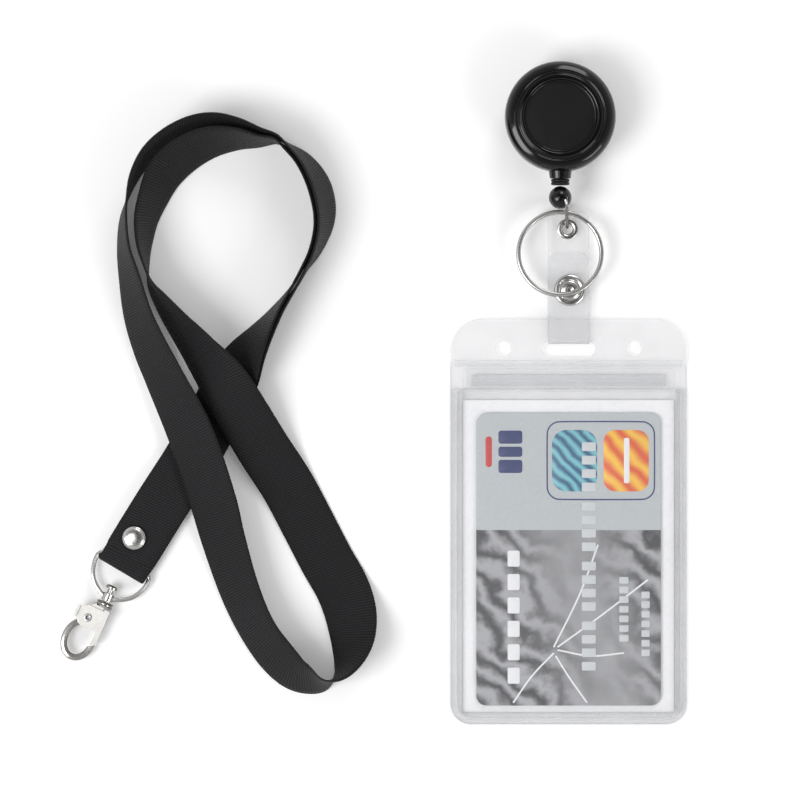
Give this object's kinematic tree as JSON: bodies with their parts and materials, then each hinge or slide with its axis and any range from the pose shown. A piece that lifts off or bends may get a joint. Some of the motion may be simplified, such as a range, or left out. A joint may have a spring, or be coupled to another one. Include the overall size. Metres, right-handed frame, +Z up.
{
  "type": "lanyard badge holder",
  "caption": "Doubled webbing lanyard with riveted swivel hook, and a retracting badge reel with split ring, snap strap and clear card pocket.",
  "frame": {"origin": "on the table under the middle of the whole object", "axes": "+Y from the pocket towards the reel, +X to the right of the card face, +Z up off the table"},
  "size_m": [0.183, 0.1934, 0.0158],
  "materials": {
    "nylon_webbing": "ribbed black nylon webbing",
    "cord_nylon": "braided black cord",
    "black_plastic": "glossy black ABS",
    "inner_plastic": "moulded black acetal",
    "nickel": "nickel-plated",
    "steel": "plain spring steel",
    "clear_vinyl": "clear soft vinyl",
    "white_paper": "plain white insert",
    "printed_card": null
  },
  "bodies": {
    "reel": {"reel_back_cover": "black_plastic", "reel_front_cover": "black_plastic", "cord_guide": "black_plastic", "spool_post": "inner_plastic", "power_spring": "steel"},
    "spool": {"cord_spool": "inner_plastic", "wound_cord": "cord_nylon"},
    "clip_base": {"clip_swivel_rivet": "nickel", "clip_base_jaw": "nickel", "clip_axle": "steel", "clip_spring": "steel"},
    "clip_lever": {"clip_lever_jaw": "nickel"},
    "cord_end": {"pull_cord": "cord_nylon"},
    "collar": {"cord_collar": "black_plastic"},
    "ball": {"stop_ball": "black_plastic", "connecting_link": "nickel"},
    "ring": {"split_ring": "nickel"},
    "strap": {"strap_front_leaf": "clear_vinyl", "strap_eyelet": "nickel", "snap_cap": "nickel", "snap_socket": "steel"},
    "strap_tab": {"strap_back_leaf": "clear_vinyl", "snap_stud": "steel", "snap_post": "nickel"},
    "pocket": {"pocket_back_sheet": "clear_vinyl", "pocket_front_sheet": "clear_vinyl", "zip_track": "clear_vinyl", "paper_insert": "white_paper"},
    "mouth": {"pocket_lip": "clear_vinyl", "zip_rib": "clear_vinyl"},
    "card": {"id_card": "printed_card"},
    "lanyard": {"lanyard_webbing": "nylon_webbing", "rivet_cap": "nickel", "rivet_post": "nickel"},
    "loop": {"swivel_loop": "nickel"},
    "hook": {"hook_body": "nickel", "gate_pin": "steel", "gate_spring": "steel"},
    "gate": {"hook_gate": "nickel"}
  },
  "joints": [
    {"name": "pull_out", "type": "slide", "parent": "reel", "child": "cord_end", "axis": [0, -1, 0], "range_m": [0, 0.6]},
    {"name": "spool_spin", "type": "hinge", "parent": "reel", "child": "spool", "pos_m": [0.05429, 0.0803, 0.0107], "axis": [0, 0, 1], "range_deg": [0, 3300]},
    {"name": "clip_swivel", "type": "hinge", "parent": "reel", "child": "clip_base", "pos_m": [0.05429, 0.0803, 0.006], "axis": [0, 0, 1], "continuous": true},
    {"name": "clip_open", "type": "hinge", "parent": "clip_base", "child": "clip_lever", "pos_m": [0.05429, 0.0813, 0.0032], "axis": [1, 0, 0], "range_deg": [0, 15], "stiffness_Nm_per_rad": 0.25, "springref_deg": -28.65, "deforming": ["clip_spring"]},
    {"name": "cord_twist", "type": "hinge", "parent": "cord_end", "child": "collar", "pos_m": [0.05429, 0.0614, 0.0107], "axis": [0, 1, 0], "range_deg": [-20, 20]},
    {"name": "ball_tilt", "type": "hinge", "parent": "collar", "child": "ball", "pos_m": [0.05429, 0.0605, 0.0107], "axis": [1, 0, 0], "range_deg": [-20, 20]},
    {"name": "strap_swing", "type": "hinge", "parent": "ball", "child": "strap", "pos_m": [0.05659, 0.0488, 0.0014], "axis": [1, 0, 0], "range_deg": [0, 12]},
    {"name": "ring_swing", "type": "hinge", "parent": "strap", "child": "ring", "pos_m": [0.05444, 0.0531, 0.0044], "axis": [-1, 0, 0], "range_deg": [0, 60]},
    {"name": "snap_open", "type": "hinge", "parent": "strap", "child": "strap_tab", "pos_m": [0.05704, 0.0147, 0.0011], "axis": [-1, 0, 0], "range_deg": [0, 85]},
    {"name": "pocket_sway", "type": "hinge", "parent": "strap", "child": "pocket", "pos_m": [0.05704, 0.0147, 0.0011], "axis": [0, 0, 1], "range_deg": [-3, 3]},
    {"name": "mouth_open", "type": "hinge", "parent": "pocket", "child": "mouth", "pos_m": [0.05704, 0.00145, 0.00227], "axis": [1, 0, 0], "range_deg": [0, 50]},
    {"name": "card_slide", "type": "slide", "parent": "pocket", "child": "card", "axis": [0, 1, 0], "range_m": [-0.0015, 0.0055]},
    {"name": "lanyard_lift", "type": "slide", "parent": "reel", "child": "lanyard", "axis": [0, 0, 1], "range_m": [0, 0.1]},
    {"name": "loop_swing", "type": "hinge", "parent": "lanyard", "child": "loop", "pos_m": [-0.07261, -0.0497, 0.0023], "axis": [-0.887, 0.4617, 0], "range_deg": [-45, 60]},
    {"name": "hook_swivel", "type": "hinge", "parent": "loop", "child": "hook", "pos_m": [-0.07769, -0.05946, 0.00275], "axis": [-0.3971, -0.9178, 0], "continuous": true},
    {"name": "gate_open", "type": "hinge", "parent": "hook", "child": "gate", "pos_m": [-0.08336, -0.06528, 0.00275], "axis": [0, 0, -1], "range_deg": [0, 20], "stiffness_Nm_per_rad": 0.02, "springref_deg": -28.65}
  ],
  "couplings": [
    {"joint": "spool_spin", "follows": "pull_out", "rad_per_m": 95.24}
  ]
}
